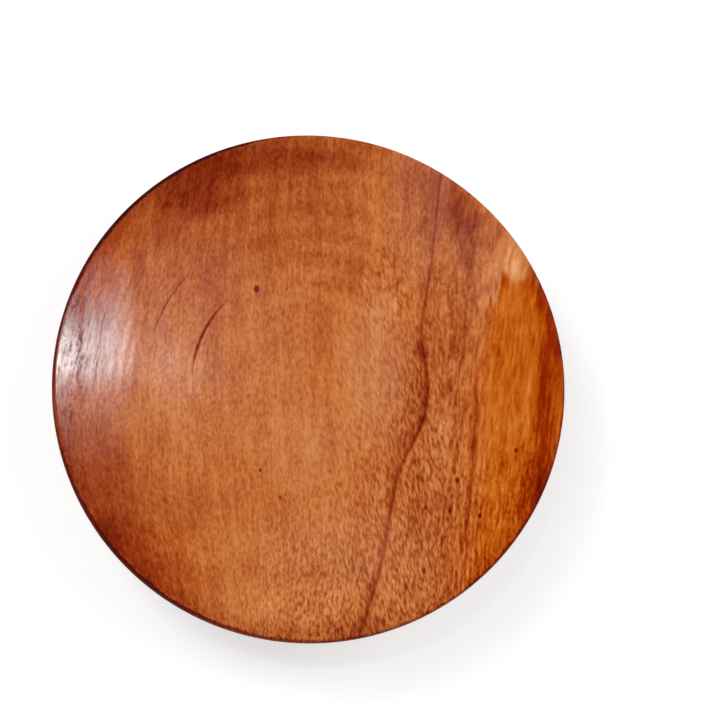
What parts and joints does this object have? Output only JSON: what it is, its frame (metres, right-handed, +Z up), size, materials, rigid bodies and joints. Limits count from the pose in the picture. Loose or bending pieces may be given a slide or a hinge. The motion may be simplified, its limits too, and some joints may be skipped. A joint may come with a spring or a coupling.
{
  "type": "chakla rolling board",
  "caption": "Round turned wooden board on short turned legs, with a flat polished top for rolling out flatbread dough.",
  "frame": {"origin": "on the floor, under the centre of the round board", "axes": "+Z up, out of the rolling face; +Y along the grain, to the back leg and up in the picture; +X to the right in the picture"},
  "size_m": [0.229, 0.229, 0.045],
  "materials": {
    "board_wood": "polished with clear shellac, gloss",
    "leg_wood": "polished with clear shellac, gloss",
    "screw_steel": "zinc plated, satin"
  },
  "bodies": {
    "root": {"rolling_board": "board_wood", "back_leg": "leg_wood", "front_left_leg": "leg_wood", "front_right_leg": "leg_wood", "back_leg_screw": "screw_steel", "front_left_leg_screw": "screw_steel", "front_right_leg_screw": "screw_steel"}
  },
  "joints": []
}
